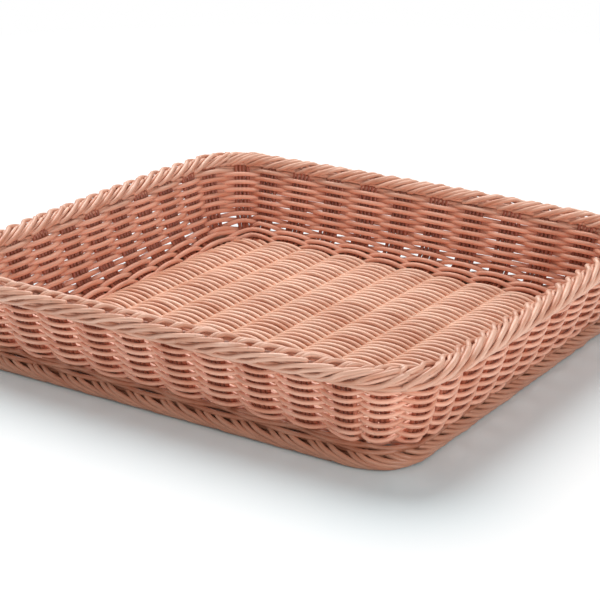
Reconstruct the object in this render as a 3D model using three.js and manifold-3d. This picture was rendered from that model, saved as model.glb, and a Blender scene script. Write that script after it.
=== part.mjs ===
// Shallow rectangular bakery basket, woven by hand from round plastic cane.
// Millimetres, +Z up. The origin is the middle of the underside, +X runs along the long side.
//
// Ten flat bundles of cane (the floor stakes) run across the floor and up both long walls.
// Nine more on each short side are tucked under the floor weave and bent up, and each corner
// has two of its own. The wall weavers pass in front of one stake and behind the next, row by
// row. The stakes end under a rolled top border, and a second border forms the foot.
import * as THREE from "three";
import { mergeVertices } from "three/addons/utils/BufferGeometryUtils.js";
import Module from "manifold-3d";

// Overall size, over the top border
const LENGTH = 354;
const WIDTH = 325;
const HEIGHT = 65;

// Cane and the clearance between pieces that touch
const CANE = 2.5;
const CLEARANCE = 0.3;

// Stakes: flat bundles of thin canes laid side by side
const STAKE_THICKNESS = 2.5;
const STAKE_WIDTH = 15;
const CORNER_STAKE_WIDTH = 11;
const LONG_SIDE_STAKES = 10;
const SHORT_SIDE_STAKES = 9;
const SIDE_STAKE_TUCK = 20;
const SIDE_STAKE_LIFT = 2.2;

// How far each wall leans out, from the floor's edge to the middle of the top border
const LONG_WALL_SPREAD = 36.1;
const SHORT_WALL_SPREAD = 40.9;

// How far the last stake of a side stands from that side's end: on the short sides at the floor,
// and on all sides at the border
const FLOOR_STAKE_END = 17.7;
const LONG_BORDER_STAKE_END = 44.3;
const SHORT_BORDER_STAKE_END = 49.8;

// The two stakes of a corner, turned by these angles from straight out of the long wall
const CORNER_STAKE_TURNS = [31, 67].map(THREE.MathUtils.degToRad);

// Floor. Its last ridges reach a little past the edge where the walls start to bend up.
const RIDGE_PAST_EDGE = 4.6;
const FLOOR_CORNER = 32;
const FLOOR_EDGE_OVERLAP = 2.2;
const FLOOR_VALLEY_HALF_THICKNESS = 1.9;
const TUNNEL_SIDE_CLEARANCE = 0.7;
const RIDGE_STEPS = 6;
const FLOOR_ROW_PITCH = 2.8;
const FLOOR_GAP_HALF_THICKNESS = 2.05;
const ARCH_SHOULDERS = [0.3, 0.7];

// Walls
const LONG_WALL_BEND = 25;
const SHORT_WALL_BEND = 30;
const BEND_STEPS = 8;
const WALL_INSET = 1.9;
const BEND_ROWS = 8;
const WALL_ROWS = 10;
const FIRST_ROW_ANGLE = THREE.MathUtils.degToRad(19.5);
const LAST_BEND_ROW_ANGLE_LEFT = THREE.MathUtils.degToRad(5.5);
const FIRST_WALL_ROW_RISE = 1.1;
const ROW_GAP = 0.4;
const CORNER_STAKE_REST = 1.2;
const CORNER_BULGE = 2.5;

// Top border
const BORDER_RADIUS = 6.7;
const BORDER_GROOVE = 0.7;
const BORDER_LOBES = 6;
const BORDER_CORNER = 40.6;
const BORDER_BOW = 1.8;
const BORDER_SEAT = 0.5;

// Foot border
const LONG_FOOT_SPREAD = 25.7;
const SHORT_FOOT_SPREAD = 27.6;
const FOOT_CORNER = 31;
const FOOT_HEIGHT = 12;
const FOOT_DEPTH = 13;
const FOOT_TOP_DRAW_IN = 0.5;
const FOOT_LEVELS = 4;
const FOOT_SEAT = 0.5;

// The weave on either side of a stake, and the heights of the two layers of stakes
const WEAVE_OFFSET = (STAKE_THICKNESS + CANE) / 2 + CLEARANCE;
const WEAVE_HALF_THICKNESS = WEAVE_OFFSET + CANE / 2;
const SIDE_STAKE_Z = SIDE_STAKE_LIFT + STAKE_THICKNESS / 2;
const FLOOR_STAKE_Z = SIDE_STAKE_LIFT + STAKE_THICKNESS + CLEARANCE + WEAVE_HALF_THICKNESS;
const BORDER_Z = HEIGHT - BORDER_RADIUS;
const BORDER_HALF_LENGTH = LENGTH / 2 - BORDER_RADIUS;
const BORDER_HALF_WIDTH = WIDTH / 2 - BORDER_RADIUS;
const CORNER_STAKES = CORNER_STAKE_TURNS.length;
const COLUMNS = 2 * (LONG_SIDE_STAKES + SHORT_SIDE_STAKES) + 4 * CORNER_STAKES;

// The line where the walls start to bend up, and the foot's outer faces beyond it
const FLOOR_HALF_LENGTH = BORDER_HALF_LENGTH - SHORT_WALL_SPREAD;
const FLOOR_HALF_WIDTH = BORDER_HALF_WIDTH - LONG_WALL_SPREAD;
const FOOT_HALF_LENGTH = FLOOR_HALF_LENGTH + SHORT_FOOT_SPREAD;
const FOOT_HALF_WIDTH = FLOOR_HALF_WIDTH + LONG_FOOT_SPREAD;

// Stake pitches: one stake under each floor ridge, the side stakes evenly between the corners
const RIDGES_HALF_LENGTH = FLOOR_HALF_LENGTH + RIDGE_PAST_EDGE;
const FLOOR_STAKE_PITCH = (2 * RIDGES_HALF_LENGTH) / LONG_SIDE_STAKES;
const SIDE_STAKE_PITCH = (2 * (FLOOR_HALF_WIDTH - FLOOR_STAKE_END)) / (SHORT_SIDE_STAKES - 1);
const LONG_BORDER_SPAN = BORDER_HALF_LENGTH - LONG_BORDER_STAKE_END;
const SHORT_BORDER_SPAN = BORDER_HALF_WIDTH - SHORT_BORDER_STAKE_END;
const LONG_BORDER_PITCH = (2 * LONG_BORDER_SPAN) / (LONG_SIDE_STAKES - 1);
const SHORT_BORDER_PITCH = (2 * SHORT_BORDER_SPAN) / (SHORT_SIDE_STAKES - 1);

const wasm = await Module();
wasm.setup();

// Materials: one cane, lighter where it has the light and darker between the rows
const caneMaterials = {
  floor: new THREE.MeshStandardMaterial({ color: 0xe3a384, roughness: 0.45, metalness: 0 }),
  stake: new THREE.MeshStandardMaterial({ color: 0xa8614a, roughness: 0.5, metalness: 0 }),
  wall: new THREE.MeshStandardMaterial({ color: 0xcb8065, roughness: 0.45, metalness: 0 }),
  border: new THREE.MeshStandardMaterial({ color: 0xe0a080, roughness: 0.42, metalness: 0 }),
  foot: new THREE.MeshStandardMaterial({ color: 0xc38068, roughness: 0.48, metalness: 0 }),
};

// A wall in section: a quarter bend from the floor's edge, then a straight line that is tangent to
// the bend and passes just inside the middle of the top border.
function wallSection(startOut, startZ, bend, borderOut) {
  const centre = new THREE.Vector2(startOut, startZ + bend);
  const toTop = new THREE.Vector2(borderOut - WALL_INSET, BORDER_Z).sub(centre);
  const angle = toTop.angle() + Math.asin(bend / toTop.length());
  const bendEnd = new THREE.Vector2(
    centre.x + bend * Math.sin(angle),
    centre.y - bend * Math.cos(angle),
  );
  const upward = new THREE.Vector2(Math.cos(angle), Math.sin(angle));
  const length = Math.sqrt(toTop.lengthSq() - bend * bend);
  const reach = new THREE.Vector2(borderOut, BORDER_Z).sub(bendEnd).dot(upward);
  const stakeLength = reach - BORDER_RADIUS - BORDER_SEAT;
  return { centre, bend, angle, bendEnd, upward, length, stakeLength };
}

const longWall = wallSection(
  FLOOR_HALF_WIDTH,
  FLOOR_STAKE_Z,
  LONG_WALL_BEND,
  BORDER_HALF_WIDTH,
);
const shortWall = wallSection(
  FLOOR_HALF_LENGTH,
  SIDE_STAKE_Z,
  SHORT_WALL_BEND,
  BORDER_HALF_LENGTH,
);

// Levels count 0 at the floor's edge, 1 at the end of the bend and 2 at the border's middle.
function sectionPoint(wall, level) {
  if (level <= 1) {
    const angle = wall.angle * level;
    return new THREE.Vector2(
      wall.centre.x + wall.bend * Math.sin(angle),
      wall.centre.y - wall.bend * Math.cos(angle),
    );
  }
  return wall.bendEnd.clone().addScaledVector(wall.upward, (level - 1) * wall.length);
}

const STAKE_TOP_LEVEL = 1 + Math.min(
  longWall.stakeLength / longWall.length,
  shortWall.stakeLength / shortWall.length,
);

// The outline of the basket at a level: half sizes, corner radius and how far the sides bow.
function outlineAt(level) {
  const share = level / 2;
  return {
    halfLength: sectionPoint(shortWall, level).x,
    halfWidth: sectionPoint(longWall, level).x,
    corner: THREE.MathUtils.lerp(FLOOR_CORNER, BORDER_CORNER, share),
    bow: BORDER_BOW * share,
  };
}

function bowInset(outline, along, half) {
  const straight = half - outline.corner;
  return outline.bow * Math.min(1, (along / straight) ** 2);
}

// The four sides, seen from above and taken anticlockwise
const sides = [
  { name: "front", along: new THREE.Vector3(1, 0, 0), out: new THREE.Vector3(0, -1, 0), long: true },
  { name: "right", along: new THREE.Vector3(0, 1, 0), out: new THREE.Vector3(1, 0, 0), long: false },
  { name: "back", along: new THREE.Vector3(-1, 0, 0), out: new THREE.Vector3(0, 1, 0), long: true },
  { name: "left", along: new THREE.Vector3(0, -1, 0), out: new THREE.Vector3(-1, 0, 0), long: false },
];

// The middle of a stake at a level. A side stake has a place counted in pitches from the middle
// of its side; a corner stake is turned from its side towards the next one.
function stakePoint(stake, level) {
  const outline = outlineAt(level);
  const { side } = stake;
  if (stake.corner) {
    const { turn } = stake;
    const own = sectionPoint(side.long ? longWall : shortWall, level);
    const next = sectionPoint(side.long ? shortWall : longWall, level);
    const outward = own.x - outline.corner * (1 - Math.cos(turn)) - outline.bow;
    const alongward = next.x - outline.corner * (1 - Math.sin(turn)) - outline.bow;
    return new THREE.Vector3(0, 0, THREE.MathUtils.lerp(own.y, next.y, (2 * turn) / Math.PI))
      .addScaledVector(side.out, outward)
      .addScaledVector(side.along, alongward);
  }
  const floorPitch = side.long ? FLOOR_STAKE_PITCH : SIDE_STAKE_PITCH;
  const borderPitch = side.long ? LONG_BORDER_PITCH : SHORT_BORDER_PITCH;
  const along = stake.place * THREE.MathUtils.lerp(floorPitch, borderPitch, level / 2);
  const half = side.long ? outline.halfLength : outline.halfWidth;
  const point = sectionPoint(side.long ? longWall : shortWall, level);
  return new THREE.Vector3(0, 0, point.y)
    .addScaledVector(side.out, point.x - bowInset(outline, along, half))
    .addScaledVector(side.along, along);
}

// A stake's own axes at a level: along the wall, up the wall, and out through the wall.
function stakeFrame(stake, level) {
  const step = 0.001;
  const lower = Math.max(0, level - step);
  const rise = stakePoint(stake, level + step).sub(stakePoint(stake, lower));
  const along = stake.along;
  const up = rise.addScaledVector(along, -rise.dot(along)).normalize();
  return { centre: stakePoint(stake, level), along, up, out: along.clone().cross(up) };
}

// All stakes in order round the basket. Rows below the corner stakes' lower ends skip them.
function stakesRound() {
  const stakes = [];
  for (const side of sides) {
    const count = side.long ? LONG_SIDE_STAKES : SHORT_SIDE_STAKES;
    for (let i = 0; i < count; i++) {
      const place = i - (count - 1) / 2;
      stakes.push({ side, place, along: side.along, width: STAKE_WIDTH, corner: false });
    }
    const turns = side.long
      ? CORNER_STAKE_TURNS
      : CORNER_STAKE_TURNS.map((turn) => Math.PI / 2 - turn).reverse();
    for (const turn of turns) {
      const along = side.along.clone().multiplyScalar(Math.cos(turn))
        .addScaledVector(side.out, -Math.sin(turn));
      stakes.push({ side, turn, along, width: CORNER_STAKE_WIDTH, corner: true });
    }
  }
  return stakes;
}

const stakes = stakesRound();

// The weaver rows, from the bottom up: first the rows on the bend, then those on the straight wall.
// Each has its level and its height; on the straight wall the rows share out the stakes' length.
function weaverRows() {
  const rows = [];
  const lastAngle = longWall.angle - LAST_BEND_ROW_ANGLE_LEFT;
  for (let i = 0; i < BEND_ROWS; i++) {
    const angle = THREE.MathUtils.lerp(FIRST_ROW_ANGLE, lastAngle, i / (BEND_ROWS - 1));
    rows.push({ level: angle / longWall.angle, height: CANE });
  }
  const stakeLength = (STAKE_TOP_LEVEL - 1) * longWall.length;
  const pitch = (stakeLength - FIRST_WALL_ROW_RISE) / (WALL_ROWS - 1 / 2);
  for (let i = 0; i < WALL_ROWS; i++) {
    const rise = FIRST_WALL_ROW_RISE + i * pitch;
    rows.push({ level: 1 + rise / longWall.length, height: pitch - ROW_GAP });
  }
  return rows;
}

// Six times the volume that a mesh encloses, negative where its faces point inwards
function signedVolume(positions, index) {
  const corner = (i) => new THREE.Vector3().fromArray(positions, 3 * index[i]);
  let volume = 0;
  for (let i = 0; i < index.length; i += 3) {
    volume += corner(i).dot(corner(i + 1).cross(corner(i + 2)));
  }
  return volume;
}

// A solid through a list of sections, each a closed ring of as many points. An open one is capped.
function loft(sections, closed) {
  const size = sections[0].length;
  const positions = sections.flat().flatMap((p) => [p.x, p.y, p.z]);
  const index = [];
  const spans = closed ? sections.length : sections.length - 1;
  for (let s = 0; s < spans; s++) {
    const a = s * size;
    const b = ((s + 1) % sections.length) * size;
    for (let i = 0; i < size; i++) {
      const j = (i + 1) % size;
      index.push(a + i, a + j, b + j, a + i, b + j, b + i);
    }
  }
  if (!closed) {
    const last = (sections.length - 1) * size;
    for (let i = 1; i < size - 1; i++) {
      index.push(0, i + 1, i, last, last + i, last + i + 1);
    }
  }
  if (signedVolume(positions, index) < 0) index.reverse();
  const geometry = new THREE.BufferGeometry();
  geometry.setAttribute("position", new THREE.Float32BufferAttribute(positions, 3));
  geometry.setIndex(index);
  return geometry;
}

// A rectangle across a path, with its sides along two directions
function rectangle(centre, across, width, through, thickness) {
  return [[-1, -1], [1, -1], [1, 1], [-1, 1]].map(([i, j]) =>
    centre
      .clone()
      .addScaledVector(across, (i * width) / 2)
      .addScaledVector(through, (j * thickness) / 2),
  );
}

function stakeSection(stake, level, across) {
  const frame = stakeFrame(stake, level);
  return rectangle(frame.centre, across, stake.width, frame.out, STAKE_THICKNESS);
}

// Levels at which a stake's shape is drawn, from its lower end to its top
function stakeLevels(lowest) {
  const levels = [];
  for (let i = 0; i <= BEND_STEPS; i++) levels.push(i / BEND_STEPS);
  levels.push(STAKE_TOP_LEVEL);
  return [lowest, ...levels.filter((level) => level > lowest + CLEARANCE / LONG_WALL_BEND)];
}

// One floor stake: down the back wall, across the floor and up the front wall
function floorStake(front, back) {
  const across = front.side.along;
  const down = stakeLevels(0).reverse().map((level) => stakeSection(back, level, across));
  const up = stakeLevels(0).map((level) => stakeSection(front, level, across));
  return loft([...down, ...up], false);
}

// One short-side stake: a foot under the floor weave, the bend and the wall
function sideStake(stake) {
  const start = stakeFrame(stake, 0);
  const foot = start.centre.clone().addScaledVector(stake.side.out, -SIDE_STAKE_TUCK);
  const tucked = rectangle(foot, stake.along, stake.width, start.out, STAKE_THICKNESS);
  const rest = stakeLevels(0).map((level) => stakeSection(stake, level, stake.along));
  return loft([tucked, ...rest], false);
}

function cornerStake(stake, lowest) {
  return loft(
    stakeLevels(lowest).map((level) => stakeSection(stake, level, stake.along)),
    false,
  );
}

// Where a row below the corner stakes turns a corner: a little outside the straight line
// between the edges of the stakes on both sides.
function cornerTurn(before, after, { level, height }) {
  const frames = [before, after].map((stake, i) => {
    const frame = stakeFrame(stake, level);
    frame.centre.addScaledVector(frame.along, (i ? -1 : 1) * (stake.width / 2));
    return frame;
  });
  const middle = (name) => frames[0][name].clone().add(frames[1][name]).multiplyScalar(1 / 2);
  const up = middle("up").normalize();
  const out = middle("out").normalize();
  const flat = out.clone().setZ(0).normalize();
  const point = middle("centre").addScaledVector(flat, CORNER_BULGE);
  return rectangle(point, up, height, out, CANE);
}

// One weaver row: a closed cane that passes outside one stake and inside the next. A row below
// the corner stakes turns each corner by itself.
function weaverRow(row, number) {
  const { level, height } = row;
  const withCorners = number >= BEND_ROWS;
  const sections = [];
  let count = number;
  for (let i = 0; i < stakes.length; i++) {
    const stake = stakes[i];
    const { centre, along, up, out } = stakeFrame(stake, level);
    if (stake.corner && !withCorners) {
      const after = stakes[(i + CORNER_STAKES) % stakes.length];
      if (!stakes[i - 1].corner) sections.push(cornerTurn(stakes[i - 1], after, row));
      continue;
    }
    const offset = count % 2 ? WEAVE_OFFSET : -WEAVE_OFFSET;
    count += 1;
    for (const end of [-1, 1]) {
      const point = centre
        .clone()
        .addScaledVector(along, end * (stake.width / 2 + CLEARANCE))
        .addScaledVector(out, offset);
      sections.push(rectangle(point, up, height, out, CANE));
    }
  }
  return loft(sections, true);
}

// A point of a rounded, bowed rectangle, with the outward direction there. Places count columns
// from the middle of the front, so that half places lie on the stakes.
function outlinePoint(outline, place) {
  const { halfLength, halfWidth, corner } = outline;
  const halves = {
    true: (LONG_SIDE_STAKES + CORNER_STAKES) / 2,
    false: (SHORT_SIDE_STAKES + CORNER_STAKES) / 2,
  };
  let rest = place;
  let sideIndex = 0;
  while (rest > halves[sides[sideIndex % sides.length].long]) {
    rest -= halves[sides[sideIndex % sides.length].long];
    sideIndex += 1;
    rest -= halves[sides[sideIndex % sides.length].long];
  }
  const side = sides[sideIndex % sides.length];
  const [half, outward] = side.long ? [halfLength, halfWidth] : [halfWidth, halfLength];
  const straight = half - corner;
  const developed = (rest / halves[side.long]) * (straight + (corner * Math.PI) / 4);
  const past = Math.max(0, Math.abs(developed) - straight) / corner;
  const along = Math.sign(developed) * (Math.min(Math.abs(developed), straight)
    + corner * Math.sin(past));
  const inset = corner * (1 - Math.cos(past)) + bowInset(outline, along, half);
  const angle = Math.sign(developed) * past;
  const out = side.out.clone().multiplyScalar(Math.cos(angle))
    .addScaledVector(side.along, Math.sin(angle));
  const point = new THREE.Vector3()
    .addScaledVector(side.out, outward - inset)
    .addScaledVector(side.along, along);
  const shortShare = side.long ? THREE.MathUtils.smoothstep(past, 0, Math.PI / 4) : 1;
  return { point, out, shortShare };
}

const UP = new THREE.Vector3(0, 0, 1);

// The top border: a roll with grooves that wind round it, half a lobe every half column
function topBorder() {
  const outline = {
    halfLength: BORDER_HALF_LENGTH,
    halfWidth: BORDER_HALF_WIDTH,
    corner: BORDER_CORNER,
    bow: BORDER_BOW,
  };
  const corners = 2 * BORDER_LOBES;
  const sections = [];
  for (let s = 0; s < 2 * COLUMNS; s++) {
    const { point, out } = outlinePoint(outline, s / 2);
    const section = [];
    for (let k = 0; k < corners; k++) {
      const angle = ((k + s) / corners) * 2 * Math.PI;
      const radius = BORDER_RADIUS - (k % 2 ? BORDER_GROOVE : 0);
      section.push(
        point
          .clone()
          .addScaledVector(out, radius * Math.cos(angle))
          .addScaledVector(UP, BORDER_Z + radius * Math.sin(angle)),
      );
    }
    sections.push(section);
  }
  return loft(sections, true);
}

// How far in from the foot's outer face the weave of a wall reaches down at a height
function weaveDepth(wall, footOut, z) {
  const radius = wall.bend + WEAVE_HALF_THICKNESS + FOOT_SEAT;
  const below = wall.centre.y - z;
  if (below >= radius) return FOOT_DEPTH;
  const weave = wall.centre.x + Math.sqrt(radius * radius - below * below);
  return Math.min(FOOT_DEPTH, footOut - weave);
}

// The foot border: a flat underside, an upright outer face and a back that follows the weave
function footBorder() {
  const outline = {
    halfLength: FOOT_HALF_LENGTH,
    halfWidth: FOOT_HALF_WIDTH,
    corner: FOOT_CORNER,
    bow: 0,
  };
  const sections = [];
  for (let s = 0; s < 2 * COLUMNS; s++) {
    const { point, out, shortShare } = outlinePoint(outline, s / 2);
    const outer = [];
    const inner = [];
    for (let k = 0; k < FOOT_LEVELS; k++) {
      const z = (FOOT_HEIGHT * k) / (FOOT_LEVELS - 1);
      const depth = THREE.MathUtils.lerp(
        weaveDepth(longWall, FOOT_HALF_WIDTH, z),
        weaveDepth(shortWall, FOOT_HALF_LENGTH, z),
        shortShare,
      );
      const drawIn = k === FOOT_LEVELS - 1 || k === 0 ? FOOT_TOP_DRAW_IN : 0;
      outer.push(point.clone().addScaledVector(out, -drawIn).setZ(z));
      inner.unshift(point.clone().addScaledVector(out, -Math.max(depth, 2 * drawIn)).setZ(z));
    }
    sections.push([...outer, ...inner]);
  }
  return loft(sections, true);
}

// The upper side of the floor weave, pass by pass of the weaver: over every second stake a pass
// shows as an arch, and over the stakes between them it leaves a gap, because it runs below.
function floorArches(halfWidth) {
  const passes = 2 * Math.ceil(halfWidth / FLOOR_ROW_PITCH) + 1;
  const sections = [];
  for (let pass = 0; pass < passes; pass++) {
    const y = (pass - (passes - 1) / 2) * FLOOR_ROW_PITCH;
    const section = [];
    for (let ridge = 0; ridge < LONG_SIDE_STAKES; ridge++) {
      const left = -RIDGES_HALF_LENGTH + ridge * FLOOR_STAKE_PITCH;
      const over = (ridge + pass) % 2 === 0;
      const height = over ? WEAVE_HALF_THICKNESS : FLOOR_GAP_HALF_THICKNESS;
      section.push(new THREE.Vector3(left, y, FLOOR_VALLEY_HALF_THICKNESS));
      for (const share of ARCH_SHOULDERS) {
        section.push(new THREE.Vector3(left + share * FLOOR_STAKE_PITCH, y, height));
      }
    }
    section.push(new THREE.Vector3(RIDGES_HALF_LENGTH, y, FLOOR_VALLEY_HALF_THICKNESS));
    section.push(new THREE.Vector3(RIDGES_HALF_LENGTH, y, 0));
    section.push(new THREE.Vector3(-RIDGES_HALF_LENGTH, y, 0));
    sections.push(section);
  }
  return loft(sections, false);
}

// The lower side of the floor weave: ten smooth ridges
function floorUnderside(halfWidth) {
  const crown = WEAVE_HALF_THICKNESS - FLOOR_VALLEY_HALF_THICKNESS;
  const steps = LONG_SIDE_STAKES * RIDGE_STEPS;
  const points = [];
  for (let i = 0; i <= steps; i++) {
    const wave = Math.sin((Math.PI * (i % RIDGE_STEPS)) / RIDGE_STEPS);
    const x = -RIDGES_HALF_LENGTH + (2 * RIDGES_HALF_LENGTH * i) / steps;
    points.push(new THREE.Vector2(x, -FLOOR_VALLEY_HALF_THICKNESS - crown * wave));
  }
  points.push(new THREE.Vector2(RIDGES_HALF_LENGTH, CLEARANCE));
  points.push(new THREE.Vector2(-RIDGES_HALF_LENGTH, CLEARANCE));
  const ridges = new THREE.ExtrudeGeometry(new THREE.Shape(points), {
    depth: 2 * halfWidth,
    bevelEnabled: false,
  });
  ridges.translate(0, 0, -halfWidth);
  ridges.rotateX(Math.PI / 2);
  return ridges;
}

// The floor weave, rounded at the corners, with a tunnel for each floor stake
function floorWeave() {
  const halfWidth = FLOOR_HALF_WIDTH + FLOOR_EDGE_OVERLAP;
  const outline = roundedRectangle(RIDGES_HALF_LENGTH, halfWidth, FLOOR_CORNER);
  const plate = new THREE.ExtrudeGeometry(outline, {
    depth: 4 * WEAVE_HALF_THICKNESS,
    bevelEnabled: false,
    curveSegments: 6,
  });
  plate.translate(0, 0, -2 * WEAVE_HALF_THICKNESS);
  let weave = solidOf(floorArches(halfWidth))
    .add(solidOf(floorUnderside(halfWidth)))
    .intersect(solidOf(plate));
  for (let i = 0; i < LONG_SIDE_STAKES; i++) {
    const tunnel = new THREE.BoxGeometry(
      STAKE_WIDTH + 2 * TUNNEL_SIDE_CLEARANCE,
      4 * halfWidth,
      STAKE_THICKNESS + 2 * CLEARANCE,
    );
    tunnel.translate((i - (LONG_SIDE_STAKES - 1) / 2) * FLOOR_STAKE_PITCH, 0, 0);
    weave = weave.subtract(solidOf(tunnel));
  }
  const geometry = geometryOf(weave);
  geometry.translate(0, 0, FLOOR_STAKE_Z);
  return geometry;
}

function roundedRectangle(halfX, halfY, radius) {
  const shape = new THREE.Shape();
  shape.moveTo(-halfX + radius, -halfY);
  shape.lineTo(halfX - radius, -halfY);
  shape.absarc(halfX - radius, -halfY + radius, radius, -Math.PI / 2, 0, false);
  shape.lineTo(halfX, halfY - radius);
  shape.absarc(halfX - radius, halfY - radius, radius, 0, Math.PI / 2, false);
  shape.lineTo(-halfX + radius, halfY);
  shape.absarc(-halfX + radius, halfY - radius, radius, Math.PI / 2, Math.PI, false);
  shape.lineTo(-halfX, -halfY + radius);
  shape.absarc(-halfX + radius, -halfY + radius, radius, Math.PI, 1.5 * Math.PI, false);
  return shape;
}

// A geometry as a solid that can be cut, and back
function solidOf(geometry) {
  const bare = geometry.clone();
  bare.deleteAttribute("normal");
  bare.deleteAttribute("uv");
  const merged = mergeVertices(bare, 1e-3);
  return new wasm.Manifold(
    new wasm.Mesh({
      numProp: 3,
      vertProperties: merged.attributes.position.array,
      triVerts: new Uint32Array(merged.index.array),
    }),
  );
}

function geometryOf(solid) {
  const mesh = solid.getMesh();
  const geometry = new THREE.BufferGeometry();
  geometry.setAttribute("position", new THREE.Float32BufferAttribute(mesh.vertProperties, 3));
  geometry.setIndex(new THREE.Uint32BufferAttribute(mesh.triVerts, 1));
  return geometry;
}

// The basket
const basket = new THREE.Group();

function addPiece(name, geometry, material) {
  const mesh = new THREE.Mesh(geometry, material);
  mesh.name = name;
  basket.add(mesh);
}

const twoDigits = (number) => String(number).padStart(2, "0");

function sideStakes(name) {
  return stakes.filter((stake) => stake.side.name === name && !stake.corner);
}

addPiece("floor_weave", floorWeave(), caneMaterials.floor);

// The back side runs the other way round, so its stakes are paired from its far end
const backStakes = sideStakes("back").reverse();
sideStakes("front").forEach((front, i) => {
  const name = `floor_stake_${twoDigits(i + 1)}`;
  addPiece(name, floorStake(front, backStakes[i]), caneMaterials.stake);
});

for (const side of ["left", "right"]) {
  sideStakes(side).forEach((stake, i) => {
    addPiece(`${side}_stake_${twoDigits(i + 1)}`, sideStake(stake), caneMaterials.stake);
  });
}

const rows = weaverRows();
rows.forEach((row, i) => {
  addPiece(`wall_weaver_${twoDigits(i + 1)}`, weaverRow(row, i), caneMaterials.wall);
});

// The corner stakes stand on the last row that runs past them
const restingLevel = rows[BEND_ROWS - 1].level;
const restingRise = (CANE / 2 + CORNER_STAKE_REST) / LONG_WALL_BEND / longWall.angle;
const cornerNames = ["front_right", "back_right", "back_left", "front_left"];
stakes.filter((stake) => stake.corner).forEach((stake, i) => {
  const geometry = cornerStake(stake, restingLevel + restingRise);
  const name = `corner_stake_${cornerNames[Math.floor(i / CORNER_STAKES)]}`;
  addPiece(`${name}_${(i % CORNER_STAKES) + 1}`, geometry, caneMaterials.stake);
});

addPiece("top_border", topBorder(), caneMaterials.border);
addPiece("foot_border", footBorder(), caneMaterials.foot);

export default basket;
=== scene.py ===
"""Shallow rectangular bakery basket, woven from round plastic cane.

Metres, +Z up. The origin is the middle of the underside and +X runs along the long side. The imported
model gives the sizes and the place of every piece, and this script weaves its canes one by one."""

import itertools
import math

import bmesh
import bpy
import numpy as np
from bpy.props import FloatProperty, FloatVectorProperty, IntProperty, PointerProperty
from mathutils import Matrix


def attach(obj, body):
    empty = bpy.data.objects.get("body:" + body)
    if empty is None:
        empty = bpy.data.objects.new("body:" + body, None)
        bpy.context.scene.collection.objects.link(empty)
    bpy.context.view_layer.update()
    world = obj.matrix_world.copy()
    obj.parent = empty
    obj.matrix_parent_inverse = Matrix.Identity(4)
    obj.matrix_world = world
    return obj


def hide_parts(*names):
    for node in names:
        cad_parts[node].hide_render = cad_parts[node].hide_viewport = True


bl_info = {
    "name": "Woven bakery basket",
    "version": (1, 0, 0),
    "blender": (4, 5, 0),
    "location": "View3D > Sidebar > Basket",
    "description": "Weaves a shallow bakery basket from round plastic cane",
    "category": "Add Mesh",
}

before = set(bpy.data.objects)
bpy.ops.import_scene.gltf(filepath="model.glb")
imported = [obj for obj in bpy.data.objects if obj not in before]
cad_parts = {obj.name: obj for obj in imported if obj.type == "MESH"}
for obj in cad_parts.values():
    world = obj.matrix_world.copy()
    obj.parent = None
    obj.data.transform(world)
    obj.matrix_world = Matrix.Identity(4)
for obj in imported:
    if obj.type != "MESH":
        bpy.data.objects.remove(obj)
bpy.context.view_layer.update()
MM = 0.001

# Columns of the weave: one stake each. A corner has two stakes of its own, turned by these angles
# from straight out of the long wall.
LONG_SIDE_STAKES = 10
SHORT_SIDE_STAKES = 9
CORNER_TURNS = (math.radians(31), math.radians(67))
CORNER_STAKES = len(CORNER_TURNS)
COLUMNS = 2 * (LONG_SIDE_STAKES + SHORT_SIDE_STAKES) + 4 * CORNER_STAKES
BEND_ROWS = 8
WALL_ROWS = 10
FIRST_CORNER_ROW = 4

# The basket's section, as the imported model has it
STAKE_THICKNESS = 2.5 * MM
CANE_THICKNESS = 2.5 * MM
CLEARANCE = 0.3 * MM
SIDE_STAKE_TUCK = 20 * MM
SIDE_STAKE_LIFT = 2.2 * MM
LONG_WALL_SPREAD = 36.1 * MM
SHORT_WALL_SPREAD = 40.9 * MM
FLOOR_STAKE_END = 17.7 * MM
LONG_BORDER_STAKE_END = 44.3 * MM
SHORT_BORDER_STAKE_END = 49.8 * MM
RIDGE_PAST_EDGE = 4.6 * MM
FLOOR_CORNER = 32 * MM
LONG_WALL_BEND = 25 * MM
SHORT_WALL_BEND = 30 * MM
WALL_INSET = 1.9 * MM
FIRST_ROW_ANGLE = math.radians(19.5)
LAST_BEND_ROW_ANGLE_LEFT = math.radians(5.5)
FIRST_WALL_ROW_RISE = 1.1 * MM
BORDER_RADIUS = 6.7 * MM
BORDER_SEAT = 0.5 * MM
BORDER_CORNER = 40.6 * MM
BORDER_BOW = 1.8 * MM
LONG_FOOT_SPREAD = 25.7 * MM
SHORT_FOOT_SPREAD = 27.6 * MM
FOOT_CORNER = 31 * MM
HALF_FLOOR_WEAVE = STAKE_THICKNESS / 2 + CLEARANCE + CANE_THICKNESS

UP = np.array([0.0, 0.0, 1.0])
# A short step in level, to find which way a wall rises
LEVEL_STEP = 0.001


def lerp(a, b, share):
    return a + (b - a) * share


def unit(vector):
    return vector / np.linalg.norm(vector)


def hermite(start, start_slope, end, end_slope, t):
    """A point of the smooth curve between two points with these slopes"""
    square, cube = t * t, t * t * t
    return (
        start * (2 * cube - 3 * square + 1)
        + start_slope * (cube - 2 * square + t)
        + end * (3 * square - 2 * cube)
        + end_slope * (cube - square)
    )


def smooth_path(knots, steps):
    """A smooth line through rows of numbers, with steps points from each knot to the next"""
    knots = np.asarray(knots, float)
    slopes = np.gradient(knots, axis=0)
    path = []
    for i in range(len(knots) - 1):
        for step in range(steps):
            t = step / steps
            path.append(hermite(knots[i], slopes[i], knots[i + 1], slopes[i + 1], t))
    path.append(knots[-1])
    return np.array(path)


FLAT_TOP = 0.9


def flattened(wave):
    """A wave from -1 to 1 that stays longer near its tops, as a cane does on a stake"""
    return math.tanh(FLAT_TOP * wave) / math.tanh(FLAT_TOP)


# Settings


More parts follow.
